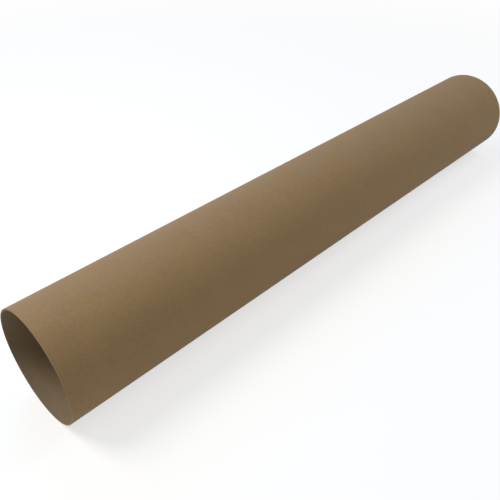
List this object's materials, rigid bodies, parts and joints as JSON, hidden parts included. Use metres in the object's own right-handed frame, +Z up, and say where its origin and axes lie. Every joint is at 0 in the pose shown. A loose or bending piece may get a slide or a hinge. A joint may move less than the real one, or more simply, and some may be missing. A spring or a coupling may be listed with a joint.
{
  "type": "cardboard tube",
  "caption": "Open cardboard tube with a thin spirally wound wall, cut square at both ends, for rolled or long goods.",
  "frame": {"origin": "under the middle of the tube, on the surface that it lies on", "axes": "+X along the tube's axis, +Z up from the surface that it lies on, +Y across; the end in the picture's foreground is at -X"},
  "size_m": [1, 0.154, 0.1539],
  "materials": {
    "kraft_board": "plain uncoated brown kraft, matt"
  },
  "bodies": {
    "root": {"cardboard_tube": "kraft_board"}
  },
  "joints": []
}
